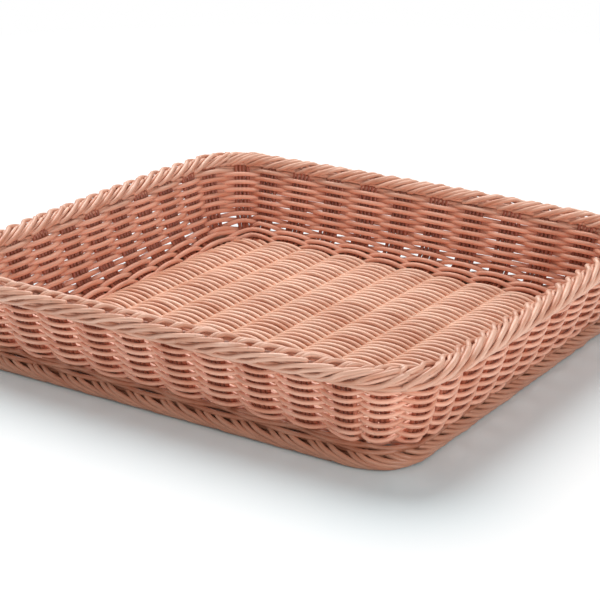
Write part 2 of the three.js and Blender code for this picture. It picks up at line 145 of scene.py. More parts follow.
class BasketSizes(bpy.types.PropertyGroup):
    """Sizes of the basket and of its canes"""

    length: FloatProperty(
        name="Length",
        description="Over the top border, along the long side",
        default=0.354,
        unit="LENGTH",
    )
    width: FloatProperty(
        name="Width",
        description="Over the top border, along the short side",
        default=0.325,
        unit="LENGTH",
    )
    height: FloatProperty(
        name="Height",
        description="From the underside to the top of the border",
        default=0.065,
        unit="LENGTH",
    )
    weaver: FloatProperty(
        name="Weaver cane",
        description="Diameter of the canes woven round the walls and across the floor",
        default=3.05 * MM,
        unit="LENGTH",
    )
    stake_cane: FloatProperty(
        name="Stake cane",
        description="Diameter of the thin canes that make up a stake",
        default=2.75 * MM,
        unit="LENGTH",
    )
    stake_canes: IntProperty(
        name="Canes in a stake",
        description="How many thin canes lie side by side in a stake",
        default=5,
    )
    border_cane: FloatProperty(
        name="Border cane",
        description="Diameter of the canes of the top border",
        default=2.8 * MM,
        unit="LENGTH",
    )
    foot_cane: FloatProperty(
        name="Foot cane",
        description="Diameter of the canes of the foot border",
        default=3.0 * MM,
        unit="LENGTH",
    )
    floor_pitch: FloatProperty(
        name="Floor pitch",
        description="Distance between the passes of the floor weaver",
        default=2.78 * MM,
        unit="LENGTH",
    )


class BasketColours(bpy.types.PropertyGroup):
    """Colours of the cane, as linear values. The floor's is partly painted light, and the stakes' and
    the foot's are painted shade.
    """

    # Paler than the wall cane: partly the floor cane's own colour, partly painted light for the light
    # that falls on the floor from above
    floor: FloatVectorProperty(
        name="Floor",
        description="Cane of the floor",
        default=(0.84, 0.46, 0.31),
        subtype="COLOR",
    )
    wall: FloatVectorProperty(
        name="Wall",
        description="Cane woven round the walls",
        default=(0.84, 0.40, 0.265),
        subtype="COLOR",
    )
    # Much darker than the wall cane: painted shade, for the stakes lying in the shade behind the
    # weavers
    stake: FloatVectorProperty(
        name="Stakes",
        description="Thin canes of the stakes",
        default=(0.42, 0.12, 0.065),
        subtype="COLOR",
    )
    border: FloatVectorProperty(
        name="Border",
        description="Canes of the top border",
        default=(0.78, 0.42, 0.29),
        subtype="COLOR",
    )
    # Darker than the wall cane: painted shade, for the foot lying in the shade under the overhanging
    # wall
    foot: FloatVectorProperty(
        name="Foot",
        description="Canes of the foot border",
        default=(0.50, 0.21, 0.125),
        subtype="COLOR",
    )


class BasketStage(bpy.types.PropertyGroup):
    """Lamps and surroundings"""

    key_power: FloatProperty(
        name="Key lamp",
        description="Power of the large lamp above the back left corner",
        default=66.0,
    )
    fill_power: FloatProperty(
        name="Fill lamp",
        description="Power of the low lamp to the right of the camera",
        default=13.0,
    )
    front_power: FloatProperty(
        name="Front lamp",
        description="Power of the low lamp beside the camera",
        default=5.4,
    )
    sky: FloatProperty(
        name="Sky",
        description="Strength of the even white light from all round, where 1 is white",
        default=0.36,
    )


# Shape of the basket


class Wall:
    """A wall in section: a bend up from the floor's edge, then a straight line to the border"""

    def __init__(self, start_out, start_z, bend, border_out, border_z):
        self.start_out = start_out
        self.start_z = start_z
        self.bend = bend
        to_top = np.array([border_out - WALL_INSET - start_out, border_z - start_z - bend])
        reach = np.linalg.norm(to_top)
        self.angle = math.atan2(to_top[1], to_top[0]) + math.asin(bend / reach)
        self.length = math.sqrt(reach**2 - bend**2)
        self.upward = np.array([math.cos(self.angle), math.sin(self.angle)])
        self.bend_end = self.on_bend(self.angle)
        border = np.array([border_out, border_z])
        straight = float((border - self.bend_end) @ self.upward)
        self.stake_length = straight - BORDER_RADIUS - BORDER_SEAT

    def on_bend(self, angle):
        return np.array(
            [
                self.start_out + self.bend * math.sin(angle),
                self.start_z + self.bend * (1 - math.cos(angle)),
            ]
        )

    def at(self, level):
        """Distance out and height at a level: 0 at the floor, 1 at the bend's end, 2 at the border"""
        if level <= 1:
            return self.on_bend(self.angle * level)
        return self.bend_end + self.upward * (level - 1) * self.length


class Stake:
    """A stake on a side of the basket. Its place counts pitches from the middle of the side, and a
    corner stake has a turn from its side towards the next one."""

    def __init__(self, side, place=0.0, turn=None):
        self.side = side
        self.place = place
        self.turn = turn
        self.corner = turn is not None
        angle = turn or 0.0
        self.along = side.along * math.cos(angle) - side.out * math.sin(angle)


class Side:
    """A side of the basket, its stakes, and the turns of the corner stakes that follow them"""

    def __init__(self, name, along, out, is_long):
        self.name = name
        self.along = np.array(along, float)
        self.out = np.array(out, float)
        self.is_long = is_long
        self.stakes = LONG_SIDE_STAKES if is_long else SHORT_SIDE_STAKES
        self.half_columns = (self.stakes + CORNER_STAKES) / 2
        self.turns = CORNER_TURNS if is_long else [math.pi / 2 - t for t in CORNER_TURNS[::-1]]


# The four sides, seen from above and taken anticlockwise
SIDES = [
    Side("front", (1, 0, 0), (0, -1, 0), True),
    Side("right", (0, 1, 0), (1, 0, 0), False),
    Side("back", (-1, 0, 0), (0, 1, 0), True),
    Side("left", (0, -1, 0), (-1, 0, 0), False),
]


class Basket:
    """The basket's shape, worked out from its sizes"""

    def __init__(self, sizes):
        self.border_z = sizes.height - BORDER_RADIUS
        self.border_half_length = sizes.length / 2 - BORDER_RADIUS
        self.border_half_width = sizes.width / 2 - BORDER_RADIUS
        self.floor_half_length = self.border_half_length - SHORT_WALL_SPREAD
        self.floor_half_width = self.border_half_width - LONG_WALL_SPREAD
        self.ridges_half_length = self.floor_half_length + RIDGE_PAST_EDGE
        self.foot_half_length = self.floor_half_length + SHORT_FOOT_SPREAD
        self.foot_half_width = self.floor_half_width + LONG_FOOT_SPREAD
        self.ridge_pitch = 2 * self.ridges_half_length / LONG_SIDE_STAKES
        self.side_pitch = 2 * (self.floor_half_width - FLOOR_STAKE_END) / (SHORT_SIDE_STAKES - 1)
        long_span = self.border_half_length - LONG_BORDER_STAKE_END
        short_span = self.border_half_width - SHORT_BORDER_STAKE_END
        self.long_border_pitch = 2 * long_span / (LONG_SIDE_STAKES - 1)
        self.short_border_pitch = 2 * short_span / (SHORT_SIDE_STAKES - 1)
        self.side_stake_z = SIDE_STAKE_LIFT + STAKE_THICKNESS / 2
        self.floor_z = SIDE_STAKE_LIFT + STAKE_THICKNESS + CLEARANCE + HALF_FLOOR_WEAVE
        self.long_wall = Wall(
            self.floor_half_width,
            self.floor_z,
            LONG_WALL_BEND,
            self.border_half_width,
            self.border_z,
        )
        self.short_wall = Wall(
            self.floor_half_length,
            self.side_stake_z,
            SHORT_WALL_BEND,
            self.border_half_length,
            self.border_z,
        )
        shares = [w.stake_length / w.length for w in (self.long_wall, self.short_wall)]
        self.stake_top = 1 + min(shares)
        self.stakes = []
        for side in SIDES:
            middle = (side.stakes - 1) / 2
            self.stakes += [Stake(side, i - middle) for i in range(side.stakes)]
            self.stakes += [Stake(side, turn=turn) for turn in side.turns]

    def wall(self, side):
        return self.long_wall if side.is_long else self.short_wall

    def outline(self, level):
        """Half length, half width, corner radius and bow of the basket at a level"""
        share = level / 2
        return (
            self.short_wall.at(level)[0],
            self.long_wall.at(level)[0],
            lerp(FLOOR_CORNER, BORDER_CORNER, share),
            BORDER_BOW * share,
        )

    def stake_point(self, stake, level, across=0.0):
        half_length, half_width, corner, bow = self.outline(level)
        side = stake.side
        if stake.corner:
            walls = (self.long_wall, self.short_wall)
            own, following = walls if side.is_long else walls[::-1]
            (outward, low), (sideways, high) = own.at(level), following.at(level)
            outward -= corner * (1 - math.cos(stake.turn)) + bow
            sideways -= corner * (1 - math.sin(stake.turn)) + bow
            z = lerp(low, high, stake.turn / (math.pi / 2))
            middle = side.out * outward + side.along * sideways + UP * z
            return middle + stake.along * across
        low_pitch = self.ridge_pitch if side.is_long else self.side_pitch
        high_pitch = self.long_border_pitch if side.is_long else self.short_border_pitch
        along = stake.place * lerp(low_pitch, high_pitch, level / 2)
        half = half_length if side.is_long else half_width
        out, z = self.wall(side).at(level)
        out -= bow * min(1, (along / (half - corner)) ** 2)
        return side.out * out + side.along * (along + across) + UP * z

    def stake_frame(self, stake, level):
        """The stake's middle, and its directions along the wall, up the wall and out through it"""
        low = max(0, level - LEVEL_STEP)
        rise = self.stake_point(stake, level + LEVEL_STEP) - self.stake_point(stake, low)
        along = stake.along
        up = unit(rise - along * (rise @ along))
        return self.stake_point(stake, level), along, up, np.cross(along, up)

    def row_levels(self):
        """Levels of the weaver rows, from the bottom up"""
        last = self.long_wall.angle - LAST_BEND_ROW_ANGLE_LEFT
        angles = [lerp(FIRST_ROW_ANGLE, last, i / (BEND_ROWS - 1)) for i in range(BEND_ROWS)]
        levels = [angle / self.long_wall.angle for angle in angles]
        length = (self.stake_top - 1) * self.long_wall.length
        pitch = (length - FIRST_WALL_ROW_RISE) / (WALL_ROWS - 0.5)
        for i in range(WALL_ROWS):
            levels.append(1 + (FIRST_WALL_ROW_RISE + i * pitch) / self.long_wall.length)
        return levels

    def ring_point(self, half_length, half_width, corner, bow, place):
        """A point of a rounded rectangle, and the direction out of it. Places count columns
        anticlockwise from the middle of the front, so that stakes have half places."""
        rest = place % COLUMNS
        index = 0
        while True:
            side = SIDES[index % len(SIDES)]
            half_count = side.half_columns
            if rest <= half_count:
                break
            rest -= half_count
            index += 1
            rest -= SIDES[index % len(SIDES)].half_columns
        half, outward = (half_length, half_width) if side.is_long else (half_width, half_length)
        straight = half - corner
        developed = rest / half_count * (straight + corner * math.pi / 4)
        distance = abs(developed)
        past = max(0.0, distance - straight) / corner
        sign = math.copysign(1, developed)
        along = sign * (min(distance, straight) + corner * math.sin(past))
        inset = corner * (1 - math.cos(past)) + bow * min(1, (along / straight) ** 2)
        out = side.out * math.cos(past) + side.along * sign * math.sin(past)
        return side.out * (outward - inset) + side.along * along, out

    def border_point(self, place):
        return self.ring_point(
            self.border_half_length, self.border_half_width, BORDER_CORNER, BORDER_BOW, place
        )

    def foot_point(self, place):
        return self.ring_point(
            self.foot_half_length, self.foot_half_width, FOOT_CORNER, 0.0, place
        )

    def stake_height(self, out, depth):
        """Height of the stakes' middle above a point at this depth in from the foot's outer face"""
        heights = []
        for wall, spread in (
            (self.long_wall, LONG_FOOT_SPREAD),
            (self.short_wall, SHORT_FOOT_SPREAD),
        ):
            angle = math.asin(min(math.sin(wall.angle), (spread - depth) / wall.bend))
            heights.append(wall.on_bend(angle)[1])
        return lerp(*heights, out[0] ** 2)


# Canes


RING_POINTS = 8
# Rings of a rounded end, from its tip inwards: distance from the tip and radius there, as shares
# of the cane's radius. The points of the first one are merged, because they all lie on the tip.
TIP_RINGS = ((0.0, 0.0), (0.25, 0.62), (0.6, 0.9))
MERGE_DISTANCE = 1e-7


class Cane:
    """One cane: the points of its middle line, its radius or the radius at each point, its tone
    from 0 to 1, and whether it closes on itself. Open canes have rounded ends."""

    def __init__(self, points, radius, tone, closed=False):
        points = np.asarray(points, float)
        radii = np.ones(len(points)) * radius
        if not closed:
            points, radii = self.with_tips(points, radii)
        self.points = points
        self.radii = radii
        self.tone = tone
        self.closed = closed

    @staticmethod
    def with_tips(points, radii):
        first = unit(points[0] - points[1])
        last = unit(points[-1] - points[-2])
        start = [points[0] + first * radii[0] * (1 - reach) for reach, _ in TIP_RINGS]
        end = [points[-1] + last * radii[-1] * (1 - reach) for reach, _ in TIP_RINGS]
        shares = np.array([share for _, share in TIP_RINGS])
        points = np.vstack([start, points, end[::-1]])
        radii = np.concatenate([radii[0] * shares, radii, radii[-1] * shares[::-1]])
        return points, radii


def cane_mesh(name, canes):
    """One mesh of all the canes, with each cane's tone and each vertex's place on its cane"""
    curve = bpy.data.curves.new(name, "CURVE")
    curve.dimensions = "3D"
    curve.bevel_depth = 1.0
    curve.bevel_resolution = (RING_POINTS - 4) // 2
    curve.use_fill_caps = False
    for cane in canes:
        spline = curve.splines.new("POLY")
        spline.points.add(len(cane.points) - 1)
        spline.points.foreach_set("co", np.c_[cane.points, np.ones(len(cane.points))].ravel())
        spline.points.foreach_set("radius", cane.radii)
        spline.use_cyclic_u = cane.closed
    holder = bpy.data.objects.new(name + "_curve", curve)
    mesh = bpy.data.meshes.new_from_object(holder)
    bpy.data.objects.remove(holder)
    bpy.data.curves.remove(curve)
    mesh.name = name
    rings = sum(len(cane.points) for cane in canes)
    if len(mesh.vertices) != rings * RING_POINTS:
        raise RuntimeError(name + ": the canes' rings don't match their mesh")
    while mesh.uv_layers:
        mesh.uv_layers.remove(mesh.uv_layers[0])
    add_cane_places(mesh, canes)
    close_tips(mesh)
    mesh.shade_smooth()
    return mesh


def add_cane_places(mesh, canes):
    """Writes the tone, and the place: across the section twice, then the distance along"""
    turn = np.arange(RING_POINTS) / RING_POINTS * 2 * math.pi
    tones, places = [], []
    for cane in canes:
        steps = np.linalg.norm(np.diff(cane.points, axis=0), axis=1)
        distance = np.concatenate([[0.0], np.cumsum(steps)])
        across = cane.radii[:, None] * np.cos(turn)
        through = cane.radii[:, None] * np.sin(turn)
        along = np.repeat(distance[:, None], RING_POINTS, 1)
        places.append(np.stack([across, through, along], -1).reshape(-1, 3))
        tones.append(np.full(len(cane.points) * RING_POINTS, cane.tone))
    tone = mesh.attributes.new("cane_tone", "FLOAT", "POINT")
    tone.data.foreach_set("value", np.concatenate(tones).astype(np.float32))
    place = mesh.attributes.new("cane_place", "FLOAT_VECTOR", "POINT")
    place.data.foreach_set("vector", np.concatenate(places).astype(np.float32).ravel())


def close_tips(mesh):
    """Merges the first ring of each tip into one point"""
    shape = bmesh.new()
    shape.from_mesh(mesh)
    bmesh.ops.remove_doubles(shape, verts=shape.verts[:], dist=MERGE_DISTANCE)
    bmesh.ops.recalc_face_normals(shape, faces=shape.faces[:])
    shape.to_mesh(mesh)
    shape.free()


def add_piece(context, name, canes, material, slot, *nodes):
    """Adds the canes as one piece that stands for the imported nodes"""
    piece = bpy.data.objects.new(name, cane_mesh(name, canes))
    piece.data.materials.append(material)
    context.scene.collection.objects.link(piece)
    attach(piece, "root")
    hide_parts(*nodes)


# Materials


class Signal:
    """A shader socket that Python sums, differences and products are written with"""

    def __init__(self, tree, socket):
        self.tree = tree
        self.socket = socket

    def math(self, operation, first, second):
        node = self.tree.nodes.new("ShaderNodeMath")
        node.operation = operation
        for value, socket in zip((first, second), node.inputs):
            if isinstance(value, Signal):
                self.tree.links.new(value.socket, socket)
            else:
                socket.default_value = value
        return Signal(self.tree, node.outputs[0])

    def __add__(self, other):
        return self.math("ADD", self, other)

    __radd__ = __add__

    def __mul__(self, other):
        return self.math("MULTIPLY", self, other)

    __rmul__ = __mul__

    def __sub__(self, other):
        return self.math("SUBTRACT", self, other)

    def __rsub__(self, other):
        return self.math("SUBTRACT", other, self)

    def clamped(self):
        return self.math("MINIMUM", self.math("MAXIMUM", self, 0.0), 1.0)


class Shader:
    """The node tree of a new material or world"""

    def __init__(self, owner):
        owner.use_nodes = True
        self.owner = owner
        self.tree = owner.node_tree
        self.tree.nodes.clear()

    def node(self, kind, settings=None, inputs=None, output=0):
        """Adds a node, sets it up, fills its sockets and returns one of its outputs"""
        node = self.tree.nodes.new(kind)
        for name, value in (settings or {}).items():
            setattr(node, name, value)
        for name, value in (inputs or {}).items():
            socket = node.inputs[name]
            if isinstance(value, Signal):
                self.tree.links.new(value.socket, socket)
            else:
                socket.default_value = value
        return Signal(self.tree, node.outputs[output]) if node.outputs else None

    def attribute(self, name, output):
        return self.node("ShaderNodeAttribute", {"attribute_name": name}, output=output)

    def noise(self, vector, scale, detail, shift):
        """Noise from 0 to 1; the shift picks another field"""
        return self.node(
            "ShaderNodeTexNoise",
            {"noise_dimensions": "4D"},
            {"Vector": vector, "W": shift, "Scale": scale, "Detail": detail},
        )

    def vector(self, operation, first, second=(0.0, 0.0, 0.0)):
        """Vector maths; an operation on one vector leaves the second out"""
        return self.node(
            "ShaderNodeVectorMath", {"operation": operation}, {0: first, 1: second}
        )

    def length(self, vector):
        return self.node("ShaderNodeVectorMath", {"operation": "LENGTH"}, {0: vector}, "Value")

    def mix(self, share, first, second):
        return self.node(
            "ShaderNodeMix", {"data_type": "RGBA"}, {0: share, 6: first, 7: second}, 2
        )


def tinted(colour, tint):
    """The colour times a factor for its red, green and blue, at most 1 each, with full alpha"""
    return (*(min(1.0, level * factor) for level, factor in zip(colour, tint)), 1.0)


# Tints of a cane's colour: the lightest and darkest cane, and its patches, streaks and specks
LIGHT_CANE = (1.14, 1.26, 1.34)
DARK_CANE = (0.82, 0.68, 0.61)
PALE_PATCH = (1.08, 1.26, 1.38)
DARK_STREAK = (0.62, 0.62, 0.62)
DARK_SPECK = (0.3, 0.3, 0.3)
# Noise on a cane: scale, detail and shift. Canes of other tones have other fields.
STREAKS = (1400.0, 2.0, 0.0)
PATCHES = (75.0, 3.0, 7.0)
GRAIN = (3200.0, 2.0, 0.0)
SPECKS = (420.0, 1.0, 3.0)
FIELD_SPREAD = 40.0
# Streaks and patches are drawn out along the cane, which is the third direction
STREAK_STRETCH = (1.0, 1.0, 0.06)
PATCH_STRETCH = (1.0, 1.0, 0.7)
# From which level of its noise each tint starts, and how fast it comes on
PATCH_START, PATCH_GAIN = 0.39, 2.8
STREAK_START, STREAK_GAIN = 0.52, 2.4
SPECK_START, SPECK_GAIN, SPECK_DEPTH = 0.71, 9.0, 0.55
STREAK_HEIGHT, GRAIN_HEIGHT = 0.6, 0.4
BUMP_STRENGTH = 0.35
BUMP_DISTANCE = 0.12 * MM
ROUGHNESS = 0.26
GRAIN_ROUGHNESS = 0.16
PLASTIC_IOR = 1.48


def cane_material(name, colour):
    """Satin plastic cane: a tone of its own for each cane, streaks along it and a fine grain"""
    shader = Shader(bpy.data.materials.new(name))
    tone = shader.attribute("cane_tone", "Fac")
    place = shader.attribute("cane_place", "Vector")
    field = tone * FIELD_SPREAD

    def noise(vector, scale, detail, shift):
        return shader.noise(vector, scale, detail, field + shift)

    streaks = noise(shader.vector("MULTIPLY", place, STREAK_STRETCH), *STREAKS)
    patches = noise(shader.vector("MULTIPLY", place, PATCH_STRETCH), *PATCHES)
    grain = noise(place, *GRAIN)
    specks = noise(place, *SPECKS)
    cane = shader.mix(tone, tinted(colour, DARK_CANE), tinted(colour, LIGHT_CANE))
    patched = (patches - PATCH_START) * PATCH_GAIN
    cane = shader.mix(patched, cane, tinted(colour, PALE_PATCH))
    streaked = (streaks - STREAK_START) * STREAK_GAIN
    cane = shader.mix(streaked, cane, tinted(colour, DARK_STREAK))
    speckled = ((specks - SPECK_START) * SPECK_GAIN).clamped() * SPECK_DEPTH
    cane = shader.mix(speckled, cane, tinted(colour, DARK_SPECK))
    bump = shader.node(
        "ShaderNodeBump",
        None,
        {
            "Strength": BUMP_STRENGTH,
            "Distance": BUMP_DISTANCE,
            "Height": streaks * STREAK_HEIGHT + grain * GRAIN_HEIGHT,
        },
    )
    surface = shader.node(
        "ShaderNodeBsdfPrincipled",
        None,
        {
            "Base Color": cane,
            "Roughness": grain * GRAIN_ROUGHNESS + ROUGHNESS,
            "IOR": PLASTIC_IOR,
            "Normal": bump,
        },
    )
    shader.node("ShaderNodeOutputMaterial", None, {"Surface": surface})
    return shader.owner


# Operators


class BASKET_OT_floor(bpy.types.Operator):
    """Weave the floor: one pass of cane after another over and under the floor stakes"""

    bl_idname = "basket.floor"
    bl_label = "Floor weave"

    STEPS = 8
    SEED = 11
    # How far the passes go on past the floor's edge, up to the first row of the walls
    REACH = 4.6 * MM
    # Clearance between a pass and the stakes, and how full the cane is
    GAP = 0.1 * MM
    FULLNESS = 1.03
    # Small changes in height and place, drawn for every ridge of a pass
    LIFT_SPREAD = 0.22
    SHIFT_SPREAD = 0.16
    DRAWS = LONG_SIDE_STAKES + 3
    # Where a pass turns down at its ends: how much farther out, and how much lower
    END_REACH = 2.2 * MM
    END_DROP = 2.6 * MM

    def execute(self, context):
        sizes = context.scene.basket_sizes
        basket = Basket(sizes)
        random = np.random.default_rng(self.SEED)
        half = basket.ridges_half_length
        half_width = basket.floor_half_width + self.REACH
        count = int(2 * half_width / sizes.floor_pitch) + 1
        offset = (STAKE_THICKNESS + sizes.weaver) / 2 + self.GAP
        canes = []
        for row in range(count):
            y = (row - (count - 1) / 2) * sizes.floor_pitch
            past = max(0.0, abs(y) - (half_width - FLOOR_CORNER))
            edge = half - FLOOR_CORNER + math.sqrt(max(0.0, FLOOR_CORNER**2 - past**2))
            sign = 1 if row % 2 else -1
            lifts = random.normal(0, self.LIFT_SPREAD, self.DRAWS) * MM
            shifts = random.normal(0, self.SHIFT_SPREAD, self.DRAWS) * MM
            steps = self.STEPS * LONG_SIDE_STAKES
            points = []
            for i in range(steps + 1):
                x = lerp(-half, half, i / steps)
                if abs(x) > edge:
                    continue
                ridge = (x + half) / basket.ridge_pitch
                wave = flattened(math.sin(math.pi * (ridge % 1)))
                wave *= sign * (1 if int(ridge) % 2 else -1)
                index = min(int(ridge), LONG_SIDE_STAKES - 1)
                blend = math.sin(math.pi * (ridge % 1)) ** 2
                z = basket.floor_z + offset * wave + lifts[index] * blend
                points.append((x, y + shifts[index] * blend, z))
            end, low = edge + self.END_REACH, basket.floor_z - self.END_DROP
            points = [(-end, y, low), *points, (end, y, low)]
            canes.append(Cane(points, sizes.weaver / 2 * self.FULLNESS, random.random()))
        material = cane_material("floor_cane", context.scene.basket_colours.floor)
        add_piece(context, "floor_weave_canes", canes, material, "cane_floor", "floor_weave")
        return {"FINISHED"}


class BASKET_OT_stakes(bpy.types.Operator):
    """Lay the stakes: flat bundles of thin canes under the floor weave and up the walls"""

    bl_idname = "basket.stakes"
    bl_label = "Stakes"

    SEED = 23
    # Distance between the canes of a bundle, as a share of their thickness
    PITCH = 1.08
    CORNER_PITCH = 1.02
    # How far below its first row a corner stake starts, in level
    CORNER_REACH = 0.06
    WALL_LEVELS = np.concatenate([np.linspace(0, 1, 9), np.linspace(1.15, 1.93, 6)])
    # How much a cane wanders in its bundle, how often in a level, and how far apart the canes are
    # in their wander
    WANDER = 0.25 * MM
    WANDER_RATE = 5
    WANDER_SHIFT = 9

    def offsets(self, sizes, corner):
        count = sizes.stake_canes - 1 if corner else sizes.stake_canes
        pitch = sizes.stake_cane * (self.CORNER_PITCH if corner else self.PITCH)
        return (np.arange(count) - (count - 1) / 2) * pitch

    def up_wall(self, basket, stake, across, lean, levels):
        points = []
        for level in levels:
            middle, along, _, out = basket.stake_frame(stake, level)
            phase = level * self.WANDER_RATE + lean * self.WANDER_SHIFT
            aside = across + math.sin(phase) * self.WANDER
            points.append(middle + along * aside + out * lean * self.WANDER)
        return points

    def execute(self, context):
        sizes = context.scene.basket_sizes
        basket = Basket(sizes)
        random = np.random.default_rng(self.SEED)
        material = cane_material("stake_cane", context.scene.basket_colours.stake)
        by_side = {
            side.name: [s for s in basket.stakes if s.side is side and not s.corner]
            for side in SIDES
        }
        corners = [stake for stake in basket.stakes if stake.corner]
        levels = self.WALL_LEVELS

        def bundle(name, corner, path):
            canes = []
            for across in self.offsets(sizes, corner):
                lean = random.uniform(-1, 1)
                canes.append(Cane(path(across, lean), sizes.stake_cane / 2, random.random()))
            add_piece(context, name + "_canes", canes, material, "cane_stakes", name)

        for i, front in enumerate(by_side["front"]):
            back = by_side["back"][len(by_side["back"]) - 1 - i]

            def across_floor(across, lean):
                down = self.up_wall(basket, back, -across, lean, levels[::-1])
                up = self.up_wall(basket, front, across, lean, levels)
                return [*down, *up]

            bundle(f"floor_stake_{i + 1:02d}", False, across_floor)
        for name in ("left", "right"):
            for i, stake in enumerate(by_side[name]):

                def up_side(across, lean):
                    points = self.up_wall(basket, stake, across, lean, levels)
                    tucked = points[0] - stake.side.out * SIDE_STAKE_TUCK
                    return [tucked, *points]

                bundle(f"{name}_stake_{i + 1:02d}", False, up_side)
        lowest = basket.row_levels()[FIRST_CORNER_ROW] - self.CORNER_REACH
        corner_levels = [lowest, *(level for level in levels if level > lowest)]
        names = ("front_right", "back_right", "back_left", "front_left")
        for i, stake in enumerate(corners):
            name = names[i // CORNER_STAKES]

            def up_corner(across, lean):
                return self.up_wall(basket, stake, across, lean, corner_levels)

            bundle(f"corner_stake_{name}_{i % CORNER_STAKES + 1}", True, up_corner)
        return {"FINISHED"}


class Weave:
    """How a row of the walls winds: outside one stake and inside the next"""

    STEPS = 8
    # Distance from the stakes as a share of touching them, and how much a strand hangs down in
    # front of its stake, at the foot of the walls and at their top
    DEPTHS = (1.0, 1.18)
    SAGS = (-0.5 * MM, 0.5 * MM)
    FULL_LEVEL = 1.3
    # Rows on either side of the bend's end lie this much closer to it than their levels
    BEND_END_PULL = 0.45 * MM
    BEND_END_REACH = 3
    # The sides whose strands hang down
    SAGGING_SIDES = ("front", "right")
    # Thickness of a row on each side, as a share of the weaver's: right, left, back, front
    THICKNESS = (0.92, 1.18, 1.06, 0.88)
    # Small changes at every stake: up or down, and in the distance from it
    RISE_SPREAD = 0.24
    DEPTH_RANGE = (0.97, 1.1)

    def __init__(self, basket, sizes, random):
        self.basket = basket
        self.sizes = sizes
        self.random = random

    def thickness(self, out):
        right, left, back, front = self.THICKNESS
        x, y = unit(out[:2])
        return x * x * (right if x > 0 else left) + y * y * (back if y > 0 else front)

    def ring(self, row, level):
        sizes, random = self.sizes, self.random
        stakes = [s for s in self.basket.stakes if row >= FIRST_CORNER_ROW or not s.corner]
        frames = [self.basket.stake_frame(stake, level) for stake in stakes]
        share = min(1.0, level / self.FULL_LEVEL)
        offset = (sizes.stake_cane + sizes.weaver) / 2 * lerp(*self.DEPTHS, share)
        sag = lerp(*self.SAGS, share)
        past = row - BEND_ROWS + 0.5
        pull = -math.copysign(max(0.0, 1 - abs(past) / self.BEND_END_REACH), past)
        rises = random.normal(0, self.RISE_SPREAD, len(stakes)) * MM + pull * self.BEND_END_PULL
        depths = offset * random.uniform(*self.DEPTH_RANGE, len(stakes))
        points, radii = [], []
        for i, (start, along, up, out) in enumerate(frames):
            j = (i + 1) % len(frames)
            end, next_along, next_up, next_out = frames[j]
            chord = np.linalg.norm(end - start)
            sign = 1 if (i + row) % 2 else -1
            for step in range(self.STEPS):
                t = step / self.STEPS
                wave = math.cos(math.pi * t)
                passed = (1 - wave) / 2
                base = hermite(start, along * chord, end, next_along * chord, t)
                depth = lerp(depths[i], depths[j], passed)
                hanging = sag if stakes[i].side.name in self.SAGGING_SIDES else 0.0
                rise = lerp(rises[i], rises[j], passed) - hanging * max(0.0, sign * wave)
                outward = unit(lerp(out, next_out, t))
                base = base + outward * sign * depth * flattened(wave)
                points.append(base + unit(lerp(up, next_up, t)) * rise)
                radii.append(sizes.weaver / 2 * self.thickness(outward))
        return Cane(points, np.array(radii), random.random(), closed=True)


class BASKET_OT_walls(bpy.types.Operator):
    """Weave the walls: each row passes in front of one stake and behind the next"""

    bl_idname = "basket.walls"
    bl_label = "Wall weavers"

    SEED = 37

    def execute(self, context):
        sizes = context.scene.basket_sizes
        basket = Basket(sizes)
        weave = Weave(basket, sizes, np.random.default_rng(self.SEED))
        material = cane_material("wall_cane", context.scene.basket_colours.wall)
        for row, level in enumerate(basket.row_levels()):
            name = f"wall_weaver_{row + 1:02d}"
            canes = [weave.ring(row, level)]
            add_piece(context, name + "_cane", canes, material, "cane_walls", name)
        return {"FINISHED"}


